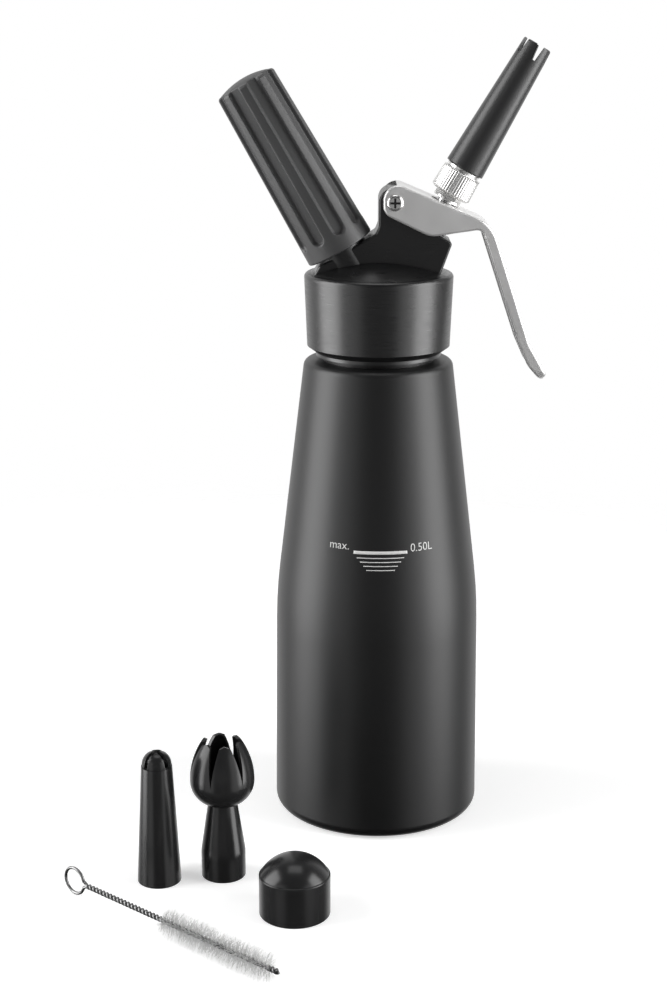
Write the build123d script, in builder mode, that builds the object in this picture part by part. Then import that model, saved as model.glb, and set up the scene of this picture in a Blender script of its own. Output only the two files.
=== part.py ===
from build123d import *

# Whipped cream dispenser, 0.5 litre, with two spare tips, a screw cap and a cleaning brush.
# Millimetres. +Z is up and +X points to the nozzle and the lever. The origin is on the table,
# at the middle of the bottle's base. The head carries two branches that lean out from one
# point on the bottle's axis: the charger holder on the left, the valve and its tip on the right.

import os
from math import cos, pi, radians, sin

# ---------------------------------------------------------------- clearances
thread_gap = 0.10  # radial, between screw threads drawn as plain cylinders
running_gap = 0.05  # radial, a spindle or pivot in its bush
loose_gap = 0.30  # between pieces that pass each other without touching

# ---------------------------------------------------------------- bottle
base_radius = 39.75
base_fillet = 4.5
belly_radius = 38.9
belly_height = 88.0
belly_blend = 180.0
shoulder_radius = 27.9
shoulder_height = 179.4
shoulder_fillet = 2.6
neck_radius = 20.9
neck_length = 20.6
neck_edge = 0.6
mouth_radius = 18.5
mouth_blend = 2.0
bottle_wall = 1.5
bottle_floor = 3.0

# ---------------------------------------------------------------- head: collar, dome and cavity
collar_lift = 1.8  # the collar stops this far above the bottle's shoulder
collar_ring_radius = 23.5
collar_ring_height = 1.2
collar_foot_radius = 26.8
collar_foot_height = 3.6
collar_radius = 27.9
collar_height = 27.2
collar_edge = 1.6
dome_radius = 25.6
dome_rise = 5.2
gasket_thickness = 2.5
gasket_radius = 20.6
gasket_bore = 17.6
cavity_radius = 17.0
cavity_height = 5.5

# ---------------------------------------------------------------- head: branches and web
# Rises and drops are measured from the apex, where the axes of the two branches meet.
apex_lift = 16.6  # above the bottle's shoulder
branch_angle = 30.0  # lean of each branch from the bottle's axis
web_half = 8.8  # half the thickness of the flat web between the branches
web_edge = 1.2
web_round = 0.9
web_foot = 24.2
web_depth = 9.0  # how far the web reaches down into the collar
foot_left = 22.0
foot_right = 22.4
stub_radius = 9.6  # threaded stub that the charger holder screws on
stub_face = 27.8
stub_top = 39.0
stub_edge = 0.8
notch_reach = 14.5
notch_blend = 2.0
lug_left = -0.3
lug_bottom = 34.0
lug_blend = 3.0
lug_radius = 5.0
valve_face = 37.4
valve_face_reach = 9.3
waist_x = 23.6
waist_rise = 19.0
waist_blend = 5.0

# ---------------------------------------------------------------- lever and its pivot
pivot_x = 5.5
pivot_rise = 42.7
sleeve_radius = 3.0
pivot_shank = 2.0
pivot_head_radius = 3.1
pivot_head_height = 1.6
pivot_head_edge = 1.1
pivot_nut_edge = 0.8
cross_width = 0.8
cross_length = 3.7
cross_depth = 0.9
lever_half = 10.5
lever_sheet = 1.5
lever_bend = 1.0
lever_press = 12.0  # degrees
grip_half = 8.6
grip_end = 6.0
grip_length = 52.0
grip_flare = 1.0
plate_end = 6.3
plate_corner = 5.5
plate_rise = 51.7
lever_left = 1.2
heel_rise = 38.6
heel_corner = 4.6
cheek_x = 18.6
cheek_rise = 30.2
cheek_corner = 9.0
elbow_x = 41.2
elbow_rise = 34.7
elbow_radius = 13.0
throat_x = 37.4
throat_rise = 32.9
throat_radius = 2.6
curl_x = 56.1
curl_drop = 9.8
curl_radius = 20.0
palm_x = 51.5
palm_drop = 9.2
palm_radius = 16.0
finger_x = 55.3
finger_drop = 17.7
finger_radius = 10.0
end_x = 59.2
end_drop = 22.4
end_radius = 1.6
bottom_x = 61.3
bottom_drop = 24.0
tip_x = 62.8
tip_drop = 21.4
tip_corner = 0.9

# ---------------------------------------------------------------- valve, along the nozzle branch
stem_radius = 3.4
stem_bore = 1.9
port_radius = 1.35
valve_foot = 10.5
valve_disc = 6.4
valve_disc_thickness = 2.0
valve_edge = 0.4
seal_thickness = 2.0
seal_radius = 6.0
valve_pocket = 7.4
stem_channel = 4.6
gland_bottom = 22.0
gland_radius = 5.4
gland_depth = 2.5
bush_radius = 6.0
bush_length = 8.0
bush_edge = 0.5
spring_pocket = 6.2
spring_radius = 4.9
spring_wire = 0.55
spring_turns = 5.0
thrust_radius = 6.0
thrust_bottom = 44.2
thrust_top = 46.4
thrust_rim = 1.3
washer_bottom = 49.4
washer_thickness = 0.8
washer_radius = 5.4
nut_flats = 9.0
nut_thickness = 1.5
stem_thread = 6.3

# ---------------------------------------------------------------- nozzle adapter and tips
adapter_foot_radius = 6.5
adapter_low_radius = 7.75
adapter_high_radius = 7.4
adapter_chamfer = 0.8
adapter_edge = 0.3
adapter_height = 9.4
adapter_grooves = 16
adapter_groove = 0.4
adapter_band = 0.6  # plain band above the grooves
adapter_collar_radius = 6.6
adapter_collar = 1.1
tip_thread_radius = 4.9
tip_thread_length = 7.0
tip_thread_edge = 0.6
tip_gap = 0.2
tip_base_radius = 7.42
socket_depth = 8.0
tip_edge = 0.3
tip_ledge = 0.4
star_length = 51.8
star_top_radius = 5.4
star_bore_low = 4.4
star_bore_high = 3.2
star_crown = 1.1
star_mouth = 4.5
star_edge = 0.3
star_prongs = 5
star_slot = 1.8
star_slot_mouth = 3.0
star_slot_blend = 0.6
star_slot_depth = 6.2
star_slot_turn = 8.0

# ---------------------------------------------------------------- charger and its holder
charger_radius = 9.0
charger_length = 65.0
charger_neck = 4.3
charger_neck_length = 10.0
charger_shoulder = 7.5
charger_wall = 1.6
charger_hole = 1.2
charger_edge = 0.5
charger_neck_blend = 1.5
charger_shoulder_blend = 6.0
charger_end_blend = 6.75
pin_body = 3.0
pin_bottom = 20.0
pin_radius = 0.8
pin_bore = 0.35
pin_point = 0.45
pin_rise = 3.2
piercer_seal_thickness = 1.5
gas_passage = 1.5
holder_lift = 1.0  # gap under the holder's rim
holder_radius = 13.15
holder_top_radius = 11.65
holder_length = 69.0
holder_crown = 2.0
holder_end_wall = 1.8
holder_edge = 1.2
holder_rim_edge = 0.6
flutes = 9
flute_width = 4.5
flute_depth = 1.2
flute_start = 5.8
flute_turn = 16.5
liner_radius = 10.8
liner_length = 29.0
cushion_thickness = 1.4
cushion_radius = 7.0

# ---------------------------------------------------------------- loose pieces on the table
cap_x, cap_y = -30.5, -96.8
cap_radius = 12.6
cap_height = 15.7
cap_crown = 2.8
cap_edge = 1.2
cap_rim_edge = 0.4
cap_depth = 12.0

round_x, round_y = -80.4, -71.7
round_base_radius = 8.0
round_top_radius = 5.6
round_shoulder = 44.8
round_height = 50.4
round_ledge = 0.25
round_dome = 5.0
round_wall = 1.3
round_slot = 1.7
round_slot_turn = 48.0

tulip_x, tulip_y = -57.2, -67.3
tulip_base_radius = 8.1
tulip_waist_radius = 5.3
tulip_waist = 28.6
tulip_stem = 10.0
tulip_stem_blend = 12.0
tulip_bulb_radius = 11.7
tulip_bulb = 37.5
tulip_tip_radius = 6.4
tulip_height = 53.6
tulip_wall = 1.4
tulip_petals = 6
tulip_notch = 38.4
tulip_petal_tip = 3.2
tulip_turn = 12.0

brush_x, brush_y = -109.6, -83.4
brush_direction = -40.7  # degrees from +X
brush_reach = 99.0
brush_wire_radius = 0.95
ring_wire_radius = 0.65
bristle_radius = 5.4
bristle_start = 45.0
bristle_length = 50.0

# ---------------------------------------------------------------- frames of the two branches
lean_sin = sin(radians(branch_angle))
lean_cos = cos(radians(branch_angle))
apex_height = shoulder_height + apex_lift
apex = (0, 0, apex_height)
holder_plane = Plane(apex, x_dir=(lean_cos, 0, lean_sin), z_dir=(-lean_sin, 0, lean_cos))
nozzle_plane = Plane(apex, x_dir=(lean_cos, 0, -lean_sin), z_dir=(lean_sin, 0, lean_cos))
holder_section = Plane(apex, x_dir=holder_plane.x_dir, z_dir=(0, -1, 0))
nozzle_section = Plane(apex, x_dir=nozzle_plane.x_dir, z_dir=(0, -1, 0))
holder_axis = Axis(apex, (-lean_sin, 0, lean_cos))
nozzle_axis = Axis(apex, (lean_sin, 0, lean_cos))
side_view = Plane(apex, x_dir=(1, 0, 0), z_dir=(0, -1, 0))
pivot = (pivot_x, 0, apex_height + pivot_rise)
pivot_plane = Plane(pivot, x_dir=(1, 0, 0), z_dir=(0, -1, 0))

# Heights and distances that follow from the sizes above.
neck_top = shoulder_height + neck_length
collar_bottom = shoulder_height + collar_lift
collar_top = collar_bottom + collar_foot_height + collar_height
dome_top = collar_top + dome_rise
gasket_top = neck_top + gasket_thickness
cavity_top = gasket_top + cavity_height
valve_seat = valve_foot + valve_disc_thickness + seal_thickness
bush_bottom = gland_bottom + gland_depth
bush_top = bush_bottom + bush_length
nut_bottom = washer_bottom + washer_thickness
adapter_bottom = nut_bottom + nut_thickness
adapter_top = adapter_bottom + adapter_height
tip_seat = adapter_top + adapter_collar
star_bottom = tip_seat + tip_gap
star_top = star_bottom + star_length
stem_top = adapter_bottom + stem_thread
seal_top = stub_face + piercer_seal_thickness
charger_top = seal_top + charger_length
holder_bottom = stub_face + holder_lift
holder_top = holder_bottom + holder_length
cushion_bottom = charger_top + loose_gap
cushion_top = cushion_bottom + cushion_thickness
thread_bore = stub_radius + thread_gap
charger_room = charger_radius + loose_gap
tip_socket = tip_thread_radius + thread_gap
ring_radius = bristle_radius - ring_wire_radius


def branch_point(side, across, along):
    """A point in the side view, measured from a branch's axis; side is -1 left, 1 right."""
    return (
        side * along * lean_sin + across * lean_cos,
        along * lean_cos - side * across * lean_sin,
    )


def corners(*points):
    """A closed outline in the current sketch. A third number rounds that corner."""
    with BuildLine() as outline:
        FilletPolyline(
            *[point[:2] for point in points],
            radius=[point[2] if len(point) > 2 else 0 for point in points],
            close=True,
        )
    make_face(outline.edges())


def turn(section, axis, *points, mode=Mode.ADD):
    """A turned solid in the current part, from a half outline of (radius, height) corners."""
    with BuildSketch(section) as half:
        corners(*points)
    revolve(half.sketch, axis=axis, mode=mode)


def crown(section, axis, radius, low, high):
    """A low dome on the current part."""
    with BuildSketch(section) as half:
        with BuildLine():
            Polyline((radius, low), (0, low), (0, high))
            TangentArc((0, high), (radius, low), tangent=(1, 0))
        make_face()
    revolve(half.sketch, axis=axis)


def bore(plane, radius, start, end):
    """A round hole in the current part, along the plane's normal."""
    with BuildSketch(plane.offset(start)) as disc:
        Circle(radius)
    extrude(disc.sketch, amount=end - start, mode=Mode.SUBTRACT)


def inset(points, distance):
    """The open path moved sideways, its corners mitred."""
    vectors = [Vector(point[0], point[1]) for point in points]
    runs = [(end - start).normalized() for start, end in zip(vectors, vectors[1:])]
    sides = [Vector(run.Y, -run.X) for run in runs]
    moved = [vectors[0] + sides[0] * distance]
    for vector, before, after in zip(vectors[1:-1], sides, sides[1:]):
        moved.append(vector + (before + after) * (distance / (1 + before.dot(after))))
    moved.append(vectors[-1] + sides[-1] * distance)
    return [(vector.X, vector.Y) for vector in moved]


def trim_grip(wall):
    """Narrows the current part's grip towards its rounded end, a wall inside the outer shape."""
    top = Vector(curl_x, 0, -curl_drop)
    bottom = Vector(bottom_x, 0, -bottom_drop)
    run = (bottom - top).normalized()
    foot = Vector(*apex) + bottom
    face = Plane(foot, x_dir=(0, 1, 0), z_dir=(-run.Z, 0, run.X))
    half, grip = lever_half + 1, grip_half - wall
    shoulder = lever_half + grip_flare - wall
    with BuildSketch(face) as waste:
        with Locations((0, grip_length / 2 - grip_end / 2)):
            Rectangle(2 * half, grip_length + grip_end)
        with BuildLine() as plan:
            FilletPolyline(
                (-shoulder, grip_length),
                (-grip, wall),
                (grip, wall),
                (shoulder, grip_length),
                radius=[0, grip_end - wall, grip_end - wall, 0],
                close=True,
            )
        make_face(plan.edges(), mode=Mode.SUBTRACT)
    extrude(waste.sketch, amount=grip_length / 3, both=True, mode=Mode.SUBTRACT)


def back_rims(part):
    """The long edges of the lever's back, the side that faces up and away from the bottle."""
    backs = [face for face in part.faces() if face.normal_at().dot(nozzle_plane.z_dir) > 0.4]
    return [edge for back in backs for edge in back.edges() if abs(edge.center().Y) > lever_sheet]


def save(name, part):
    """Writes one sub-part to its own file."""
    part.label = name
    export_step(part, f"parts/{name}.step")


os.makedirs("parts", exist_ok=True)

# ---------------------------------------------------------------- bottle
with BuildPart() as bottle:
    turn(
        Plane.XZ,
        Axis.Z,
        (0, 0),
        (base_radius, 0, base_fillet),
        (belly_radius, belly_height, belly_blend),
        (shoulder_radius, shoulder_height, shoulder_fillet),
        (neck_radius, shoulder_height),
        (neck_radius, neck_top, neck_edge),
        (mouth_radius, neck_top, neck_edge),
        (mouth_radius, shoulder_height - bottle_wall, mouth_blend),
        (shoulder_radius - bottle_wall, shoulder_height - bottle_wall, shoulder_fillet - bottle_wall),
        (belly_radius - bottle_wall, belly_height, belly_blend),
        (base_radius - bottle_wall, bottle_floor, base_fillet - bottle_wall),
        (0, bottle_floor),
    )
save("bottle", bottle.part)

with BuildPart() as head_gasket:
    with BuildSketch(Plane.XY.offset(neck_top)):
        Circle(gasket_radius)
        Circle(gasket_bore, mode=Mode.SUBTRACT)
    extrude(amount=gasket_thickness)
save("head_gasket", head_gasket.part)

# ---------------------------------------------------------------- head
# The web is a flat plate with rounded edges. Its outline runs from the left foot up under the
# charger holder, round the lever's lug, down to the valve face and out to the right foot.
lug_offset = pivot_x * lean_cos - pivot_rise * lean_sin  # the pivot, across the nozzle branch
lug_top = pivot_rise + lug_radius
lug_side = lug_offset + lug_radius
web_base = collar_top - web_depth - apex_height
with BuildPart() as web:
    with BuildSketch(side_view):
        corners(
            (-web_foot, collar_top - apex_height),
            (*branch_point(-1, -stub_radius, stub_face), web_edge),
            (*branch_point(-1, notch_reach, stub_face), notch_blend),
            (lug_left, lug_bottom, lug_blend),
            (lug_left, lug_top, lug_radius),
            (*branch_point(1, lug_side, (lug_top + lug_side * lean_sin) / lean_cos), lug_radius),
            (*branch_point(1, lug_side, valve_face), web_edge),
            (*branch_point(1, valve_face_reach, valve_face), web_edge),
            (waist_x, waist_rise, waist_blend),
            (foot_right, collar_top - apex_height),
            (foot_right, web_base),
            (-foot_left, web_base),
        )
    extrude(amount=web_half, both=True)
    rims = faces().sort_by(Axis.Y)[0].edges() + faces().sort_by(Axis.Y)[-1].edges()
    fillet(rims, web_round)

with BuildPart() as head:
    with BuildSketch(Plane.XZ):
        with BuildLine() as half_outline:
            FilletPolyline(
                (0, collar_bottom),
                (collar_ring_radius, collar_bottom),
                (collar_ring_radius, collar_bottom + collar_ring_height),
                (collar_foot_radius, collar_bottom + collar_foot_height),
                (collar_radius, collar_top),
                (dome_radius, collar_top),
                radius=[0, 0, 0, collar_edge],
            )
            TangentArc((0, dome_top), (dome_radius, collar_top), tangent=(1, 0))
            Line((0, dome_top), (0, collar_bottom))
        make_face()
    revolve(axis=Axis.Z)
    add(web.part)
    turn(
        holder_section,
        holder_axis,
        (0, stub_face / 2),
        (stub_radius, stub_face / 2),
        (stub_radius, stub_top, stub_edge),
        (0, stub_top),
    )

    # room for the bottle's neck, the gasket and the cream above it
    bore(Plane.XY, neck_radius + thread_gap, collar_bottom - 1, gasket_top)
    bore(Plane.XY, cavity_radius, gasket_top - 1, cavity_top)

    # valve branch: pocket for the disc, channel round the stem, ring gland, bush and spring pocket
    bore(nozzle_plane, valve_pocket, valve_foot / 2, valve_seat)
    bore(nozzle_plane, stem_channel, valve_foot, valve_face + 1)
    bore(nozzle_plane, gland_radius, gland_bottom, valve_face)
    bore(nozzle_plane, bush_radius, bush_bottom, valve_face)
    bore(nozzle_plane, spring_pocket, bush_top, valve_face + 5)

    # charger branch: gas passage, seat of the piercing pin, and room for the charger's neck
    bore(holder_plane, gas_passage, valve_foot / 2, pin_bottom + 1)
    bore(holder_plane, pin_body, pin_bottom, stub_face + 1)
    bore(holder_plane, charger_neck + loose_gap, stub_face, stub_top + 1)

    # the lever's pivot runs through the lug
    bore(pivot_plane, sleeve_radius + running_gap, -web_half - 1, web_half + 1)
save("head", head.part)

with BuildPart() as piercing_pin:
    turn(
        holder_section,
        holder_axis,
        (pin_bore, pin_bottom),
        (pin_body, pin_bottom),
        (pin_body, stub_face),
        (pin_radius, stub_face),
        (pin_radius, stub_face + pin_rise - 1.5 * pin_radius),
        (pin_point, stub_face + pin_rise),
        (pin_bore, stub_face + pin_rise),
    )
save("piercing_pin", piercing_pin.part)

with BuildPart() as piercer_seal:
    with BuildSketch(holder_plane.offset(stub_face)):
        Circle(charger_neck + loose_gap)
        Circle(pin_radius + thread_gap, mode=Mode.SUBTRACT)
    extrude(amount=piercer_seal_thickness)
save("piercer_seal", piercer_seal.part)

# ---------------------------------------------------------------- valve
with BuildPart() as valve_spindle:
    turn(
        nozzle_section,
        nozzle_axis,
        (0, valve_foot),
        (valve_disc, valve_foot, valve_edge),
        (valve_disc, valve_foot + valve_disc_thickness, valve_edge),
        (stem_radius, valve_foot + valve_disc_thickness),
        (stem_radius, stem_top, valve_edge),
        (stem_bore, stem_top),
        (stem_bore, valve_seat),
        (0, valve_seat),
    )
    port_centre = nozzle_plane.offset(valve_seat + stem_bore).origin
    for across in (nozzle_plane.x_dir, nozzle_plane.y_dir):
        with BuildSketch(Plane(port_centre, z_dir=across)):
            Circle(port_radius)
        extrude(amount=stem_radius + 1, both=True, mode=Mode.SUBTRACT)
save("valve_spindle", valve_spindle.part)

with BuildPart() as valve_seal:
    with BuildSketch(nozzle_plane.offset(valve_foot + valve_disc_thickness)):
        Circle(seal_radius)
        Circle(stem_radius, mode=Mode.SUBTRACT)
    extrude(amount=seal_thickness)
save("valve_seal", valve_seal.part)

with BuildPart() as spindle_oring:
    ring_section = (gland_radius - stem_radius) / 2 - running_gap
    with BuildSketch(nozzle_section):
        with Locations(((gland_radius + stem_radius) / 2, gland_bottom + gland_depth / 2)):
            Circle(ring_section)
    revolve(axis=nozzle_axis)
save("spindle_oring", spindle_oring.part)

with BuildPart() as guide_bush:
    turn(
        nozzle_section,
        nozzle_axis,
        (stem_radius + running_gap, bush_bottom),
        (bush_radius, bush_bottom),
        (bush_radius, bush_top),
        (stem_radius + running_gap, bush_top, bush_edge),
    )
save("guide_bush", guide_bush.part)

with BuildPart() as thrust_collar:
    with BuildSketch(nozzle_section):
        with BuildLine():
            Polyline(
                (stem_radius, thrust_top),
                (stem_radius, thrust_bottom),
                (thrust_radius, thrust_bottom),
                (thrust_radius, thrust_bottom + thrust_rim),
            )
            TangentArc((stem_radius, thrust_top), (thrust_radius, thrust_bottom + thrust_rim), tangent=(1, 0))
        make_face()
    revolve(axis=nozzle_axis)
save("thrust_collar", thrust_collar.part)

# A wire coil with its ends inside the spring's length.
with BuildPart() as valve_spring:
    coil_height = thrust_bottom - bush_top - 2 * spring_wire
    coil_start = nozzle_plane.offset(bush_top + spring_wire).origin
    with BuildLine() as coil:
        Helix(coil_height / spring_turns, coil_height, spring_radius, coil_start, nozzle_plane.z_dir)
    with BuildSketch(Plane(coil.line @ 0, z_dir=coil.line % 0)):
        Circle(spring_wire)
    sweep(path=coil.line, is_frenet=True)
save("valve_spring", valve_spring.part)

with BuildPart() as spindle_washer:
    with BuildSketch(nozzle_plane.offset(washer_bottom)):
        Circle(washer_radius)
        Circle(stem_radius, mode=Mode.SUBTRACT)
    extrude(amount=washer_thickness)
save("spindle_washer", spindle_washer.part)

with BuildPart() as spindle_nut:
    with BuildSketch(nozzle_plane.offset(nut_bottom)):
        RegularPolygon(nut_flats / 2, 6, major_radius=False)
        Circle(stem_radius, mode=Mode.SUBTRACT)
    extrude(amount=nut_thickness)
save("spindle_nut", spindle_nut.part)

with BuildPart() as nozzle_adapter:
    turn(
        nozzle_section,
        nozzle_axis,
        (stem_radius, adapter_bottom),
        (adapter_foot_radius, adapter_bottom),
        (adapter_low_radius, adapter_bottom + adapter_chamfer),
        (adapter_high_radius, adapter_top, adapter_edge),
        (adapter_collar_radius, adapter_top),
        (adapter_collar_radius, tip_seat),
        (tip_thread_radius, tip_seat),
        (tip_thread_radius, tip_seat + tip_thread_length, tip_thread_edge),
        (stem_bore, tip_seat + tip_thread_length),
        (stem_bore, stem_top),
        (stem_radius, stem_top),
    )
    # shallow grooves round the grip, which stop short of its top edge
    with BuildSketch(nozzle_plane.offset(adapter_bottom - 1)):
        with PolarLocations(adapter_low_radius, adapter_grooves):
            Circle(adapter_groove)
    extrude(amount=adapter_height + 1 - adapter_band, mode=Mode.SUBTRACT)
save("nozzle_adapter", nozzle_adapter.part)

# Long tapered tip. Slots from its open end leave a ring of blunt prongs.
with BuildPart() as star_tip:
    turn(
        nozzle_section,
        nozzle_axis,
        (tip_socket, star_bottom),
        (tip_base_radius, star_bottom, star_edge),
        (star_top_radius, star_top - star_crown, star_crown),
        (star_mouth, star_top, star_edge),
        (star_bore_high, star_top, star_edge),
        (star_bore_low, star_bottom + socket_depth),
        (tip_socket, star_bottom + socket_depth),
    )
    for prong in range(star_prongs):
        angle = radians(star_slot_turn - 90 + prong * 360 / star_prongs)
        outward = nozzle_plane.x_dir * cos(angle) + nozzle_plane.y_dir * sin(angle)
        sideways = nozzle_plane.z_dir.cross(outward)
        slot_floor = nozzle_plane.offset(star_top - star_slot_depth).origin
        with BuildSketch(Plane(slot_floor, x_dir=sideways, z_dir=outward)):
            corners(
                (-star_slot / 2, 0, star_slot_blend),
                (star_slot / 2, 0, star_slot_blend),
                (star_slot_mouth / 2, star_slot_depth + star_crown),
                (-star_slot_mouth / 2, star_slot_depth + star_crown),
            )
        extrude(amount=2 * star_top_radius, mode=Mode.SUBTRACT)
save("star_tip", star_tip.part)

# ---------------------------------------------------------------- lever
# A bent sheet channel. Its outline is the side view of a cheek. The hollow leaves the top
# plate and both cheeks, and stops short of the curled end, which is closed and rounded.
plate_path = [
    (lever_left, plate_rise),
    (elbow_x, elbow_rise),
    (curl_x, -curl_drop),
    (tip_x, -tip_drop),
]
cheek_path = [
    (bottom_x, -bottom_drop, tip_corner),
    (end_x, -end_drop, end_radius),
    (finger_x, -finger_drop, finger_radius),
    (palm_x, -palm_drop, palm_radius),
    (throat_x, throat_rise, throat_radius),
    (cheek_x, cheek_rise, cheek_corner),
    (lever_left, heel_rise, heel_corner),
]
inner_path = inset(plate_path, lever_sheet)
with BuildPart() as lever_hollow:
    slope = (elbow_rise - plate_rise) / (elbow_x - lever_left)
    hollow_start = inner_path[0][1] + slope * (plate_end - inner_path[0][0])
    beyond = 4 * lever_sheet
    with BuildSketch(side_view):
        corners(
            (lever_left - beyond, plate_rise + beyond),
            (plate_end, plate_rise + beyond),
            (plate_end, hollow_start),
            (*inner_path[1], elbow_radius - lever_sheet),
            (*inner_path[2], curl_radius + lever_sheet),
            inner_path[3],
            (bottom_x - beyond, -bottom_drop - beyond),
            (palm_x - 2 * beyond, -bottom_drop),
            (lever_left - beyond, cheek_rise - beyond),
        )
    extrude(amount=lever_half - lever_sheet, both=True)
    trim_grip(lever_sheet)

with BuildPart() as lever:
    with BuildSketch(side_view):
        corners(
            (*plate_path[0], plate_corner),
            (*plate_path[1], elbow_radius),
            (*plate_path[2], curl_radius),
            (*plate_path[3], tip_corner),
            *cheek_path,
        )
    extrude(amount=lever_half, both=True)
    trim_grip(0)
    fillet(back_rims(lever.part), lever_bend)
    add(lever_hollow.part, mode=Mode.SUBTRACT)
    # slot for the valve spindle, long enough for the lever's swing
    swing = 2 * stem_radius * sin(radians(lever_press))
    with BuildSketch(nozzle_plane.offset(thrust_bottom)):
        with Locations((-swing / 2, 0)):
            SlotCenterToCenter(swing, 2 * (stem_radius + 2 * loose_gap))
    extrude(amount=washer_bottom - thrust_bottom + 1, mode=Mode.SUBTRACT)
    # holes for the pivot screw
    with BuildSketch(pivot_plane):
        Circle(pivot_shank)
    extrude(amount=lever_half + 1, both=True, mode=Mode.SUBTRACT)
save("lever", lever.part)

with BuildPart() as pivot_sleeve:
    with BuildSketch(pivot_plane):
        Circle(sleeve_radius)
        Circle(pivot_shank, mode=Mode.SUBTRACT)
    extrude(amount=lever_half - lever_sheet, both=True)
save("pivot_sleeve", pivot_sleeve.part)

# Domed screw head with a cross recess, on the near side; the nut is on the far side.
with BuildPart() as pivot_screw:
    pivot_section = Plane(pivot, x_dir=(1, 0, 0), z_dir=(0, 0, 1))
    pivot_axis = Axis(pivot, (0, 1, 0))
    turn(
        pivot_section,
        pivot_axis,
        (0, -lever_half - pivot_head_height),
        (pivot_head_radius, -lever_half - pivot_head_height, pivot_head_edge),
        (pivot_head_radius, -lever_half),
        (pivot_shank, -lever_half),
        (pivot_shank, lever_half + pivot_head_height),
        (0, lever_half + pivot_head_height),
    )
    with BuildSketch(pivot_plane.offset(lever_half + pivot_head_height)):
        Rectangle(cross_length, cross_width)
        Rectangle(cross_width, cross_length)
    extrude(amount=-cross_depth, mode=Mode.SUBTRACT)
save("pivot_screw", pivot_screw.part)

with BuildPart() as pivot_nut:
    turn(
        pivot_section,
        pivot_axis,
        (pivot_shank, lever_half),
        (pivot_head_radius, lever_half),
        (pivot_head_radius, lever_half + pivot_head_height, pivot_nut_edge),
        (pivot_shank, lever_half + pivot_head_height),
    )
save("pivot_nut", pivot_nut.part)

# ---------------------------------------------------------------- charger and its holder
with BuildPart() as charger:
    charger_base = charger_top - charger_length
    body_start = charger_base + charger_neck_length + charger_shoulder
    turn(
        holder_section,
        holder_axis,
        (charger_hole, charger_base),
        (charger_neck, charger_base, charger_edge),
        (charger_neck, charger_base + charger_neck_length, charger_neck_blend),
        (charger_radius, body_start, charger_shoulder_blend),
        (charger_radius, charger_top, charger_end_blend),
        (0, charger_top),
        (0, charger_top - charger_wall),
        (charger_radius - charger_wall, charger_top - charger_wall, charger_end_blend - charger_wall),
        (charger_radius - charger_wall, body_start + charger_wall, charger_shoulder_blend - charger_wall),
        (charger_hole, charger_base + charger_neck_length + charger_wall),
    )
save("charger", charger.part)

with BuildPart() as holder_liner:
    turn(
        holder_section,
        holder_axis,
        (thread_bore, holder_bottom),
        (liner_radius, holder_bottom),
        (liner_radius, holder_bottom + liner_length),
        (charger_room, holder_bottom + liner_length),
        (charger_room, stub_top + loose_gap),
        (thread_bore, stub_top + loose_gap),
    )
save("holder_liner", holder_liner.part)

with BuildPart() as holder_cushion:
    with BuildSketch(holder_plane.offset(cushion_bottom)):
        Circle(cushion_radius)
    extrude(amount=cushion_thickness)
save("holder_cushion", holder_cushion.part)

# Tapered grip with flutes that start above the rim and run out through the end.
with BuildPart() as charger_holder:
    taper = (holder_radius - holder_top_radius) / holder_length
    turn(
        holder_section,
        holder_axis,
        (0, holder_bottom),
        (holder_radius, holder_bottom, holder_rim_edge),
        (holder_top_radius, holder_top, holder_edge),
        (0, holder_top),
    )
    crown(holder_section, holder_axis, holder_top_radius - holder_edge, holder_top, holder_top + holder_crown)
    bore(holder_plane, liner_radius, holder_bottom, holder_bottom + liner_length)
    bore(holder_plane, charger_room, holder_bottom, cushion_bottom)
    bore(holder_plane, cushion_radius, cushion_bottom - 1, cushion_top)
    for flute in range(flutes):
        angle = flute_turn - 90 + flute * 360 / flutes
        radial = holder_plane.x_dir * cos(radians(angle)) + holder_plane.y_dir * sin(radians(angle))
        slope = (holder_plane.z_dir - radial * taper).normalized()
        floor_point = holder_plane.offset(holder_bottom).origin + radial * (holder_radius - flute_depth)
        floor_plane = Plane(floor_point, x_dir=slope, z_dir=radial + holder_plane.z_dir * taper)
        with BuildSketch(floor_plane):
            with Locations((flute_start + holder_length, 0)):
                SlotOverall(2 * holder_length, flute_width)
        extrude(amount=2 * flute_depth, mode=Mode.SUBTRACT)
save("charger_holder", charger_holder.part)

# ---------------------------------------------------------------- loose pieces on the table
def standing(x, y):
    """The vertical section plane and axis of a piece that stands on the table."""
    return Plane((x, y, 0), x_dir=(1, 0, 0), z_dir=(0, -1, 0)), Axis((x, y, 0), (0, 0, 1))


cap_section, cap_axis = standing(cap_x, cap_y)
with BuildPart() as protective_cap:
    turn(
        cap_section,
        cap_axis,
        (0, cap_depth),
        (thread_bore, cap_depth),
        (thread_bore, 0),
        (cap_radius, 0, cap_rim_edge),
        (cap_radius, cap_height, cap_edge),
        (0, cap_height),
    )
    crown(cap_section, cap_axis, cap_radius - cap_edge, cap_height, cap_height + cap_crown)
save("protective_cap", protective_cap.part)

round_section, round_axis = standing(round_x, round_y)
with BuildPart() as round_tip:
    dome_side = round_top_radius - round_ledge
    turn(
        round_section,
        round_axis,
        (tip_socket, 0),
        (round_base_radius, 0, tip_edge),
        (round_top_radius, round_shoulder),
        (dome_side, round_shoulder),
        (dome_side, round_height, round_dome),
        (0, round_height),
        (0, round_height - round_wall),
        (dome_side - round_wall, round_height - round_wall, round_dome - round_wall),
        (dome_side - round_wall, round_shoulder),
        (tip_socket - tip_ledge, socket_depth),
        (tip_socket, socket_depth),
    )
    with BuildSketch(Plane((round_x, round_y, round_shoulder))):
        for turned in (round_slot_turn, round_slot_turn + 90):
            Rectangle(3 * round_top_radius, round_slot, rotation=turned)
    extrude(amount=round_height, mode=Mode.SUBTRACT)
save("round_tip", round_tip.part)

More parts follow.
